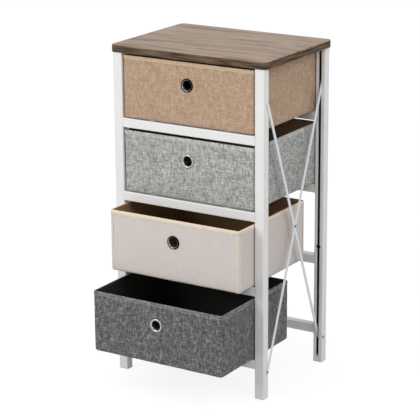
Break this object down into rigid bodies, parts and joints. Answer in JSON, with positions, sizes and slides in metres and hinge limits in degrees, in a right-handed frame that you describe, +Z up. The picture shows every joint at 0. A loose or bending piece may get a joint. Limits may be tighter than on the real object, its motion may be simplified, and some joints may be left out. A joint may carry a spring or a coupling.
{
  "type": "drawer unit",
  "caption": "Tall narrow chest of open-topped cloth bins that slide in a slim braced white steel frame, under a wood-look top with rounded corners.",
  "frame": {"origin": "on the floor, midway between the outer corners of the four posts", "axes": "+X to the right of someone who faces the front, +Y to the back (the drawers open towards -Y), +Z up"},
  "size_m": [0.418, 0.4484, 0.8],
  "materials": {
    "frame_steel": "satin",
    "brace_steel": "satin",
    "zinc_plated_steel": "satin",
    "dark_steel": "satin",
    "white_plastic": "matte",
    "black_nylon": "matte",
    "wood_look_board": "satin",
    "beech": "matte",
    "tan_cloth": "matte",
    "light_grey_cloth": "matte",
    "greige_cloth": "matte",
    "dark_grey_cloth": "matte",
    "cream_binding": "matte",
    "stiffening_board": "matte",
    "dark_nickel": "gloss",
    "bright_nickel": "gloss"
  },
  "bodies": {
    "frame": {"front_left_foot": "white_plastic", "front_left_post": "frame_steel", "front_right_foot": "white_plastic", "front_right_post": "frame_steel", "rear_left_foot": "white_plastic", "rear_left_post": "frame_steel", "rear_right_foot": "white_plastic", "rear_right_post": "frame_steel", "front_crossbar_1": "frame_steel", "front_crossbar_2": "frame_steel", "front_crossbar_3": "frame_steel", "front_crossbar_4": "frame_steel", "rear_crossbar_1": "frame_steel", "rear_crossbar_2": "frame_steel", "rear_crossbar_3": "frame_steel", "rear_crossbar_4": "frame_steel", "drawer_runners_1": "frame_steel", "drawer_runners_2": "frame_steel", "drawer_runners_3": "frame_steel", "drawer_runners_4": "frame_steel", "left_rising_brace_bar": "brace_steel", "left_falling_brace_bar": "brace_steel", "right_rising_brace_bar": "brace_steel", "right_falling_brace_bar": "brace_steel", "brace_pivot_rivets": "zinc_plated_steel", "brace_top_screws": "frame_steel", "brace_centre_rivets": "zinc_plated_steel", "brace_sliders": "black_nylon", "slot_tie_rivets": "dark_steel", "top_plugs": "black_nylon", "top_board_pegs": "beech", "top_board": "wood_look_board"},
    "drawer_1": {"drawer_1_cover": "tan_cloth", "drawer_1_front_board": "stiffening_board", "drawer_1_wall_boards": "stiffening_board", "drawer_1_base_board": "stiffening_board", "drawer_1_binding": "tan_cloth", "drawer_1_eyelet": "dark_nickel", "drawer_1_eyelet_washer": "zinc_plated_steel"},
    "drawer_2": {"drawer_2_cover": "light_grey_cloth", "drawer_2_front_board": "stiffening_board", "drawer_2_wall_boards": "stiffening_board", "drawer_2_base_board": "stiffening_board", "drawer_2_binding": "light_grey_cloth", "drawer_2_eyelet": "bright_nickel", "drawer_2_eyelet_washer": "zinc_plated_steel"},
    "drawer_3": {"drawer_3_cover": "greige_cloth", "drawer_3_front_board": "stiffening_board", "drawer_3_wall_boards": "stiffening_board", "drawer_3_base_board": "stiffening_board", "drawer_3_binding": "cream_binding", "drawer_3_eyelet": "dark_nickel", "drawer_3_eyelet_washer": "zinc_plated_steel"},
    "drawer_4": {"drawer_4_cover": "dark_grey_cloth", "drawer_4_front_board": "stiffening_board", "drawer_4_wall_boards": "stiffening_board", "drawer_4_base_board": "stiffening_board", "drawer_4_binding": "dark_grey_cloth", "drawer_4_eyelet": "bright_nickel", "drawer_4_eyelet_washer": "zinc_plated_steel"}
  },
  "joints": [
    {"name": "drawer_1_slide", "type": "slide", "parent": "frame", "child": "drawer_1", "axis": [0, -1, 0], "range_m": [0, 0.24]},
    {"name": "drawer_2_slide", "type": "slide", "parent": "frame", "child": "drawer_2", "axis": [0, -1, 0], "range_m": [0, 0.24]},
    {"name": "drawer_3_slide", "type": "slide", "parent": "frame", "child": "drawer_3", "axis": [0, -1, 0], "range_m": [-0.0645, 0.1755]},
    {"name": "drawer_4_slide", "type": "slide", "parent": "frame", "child": "drawer_4", "axis": [0, -1, 0], "range_m": [-0.141, 0.099]}
  ]
}
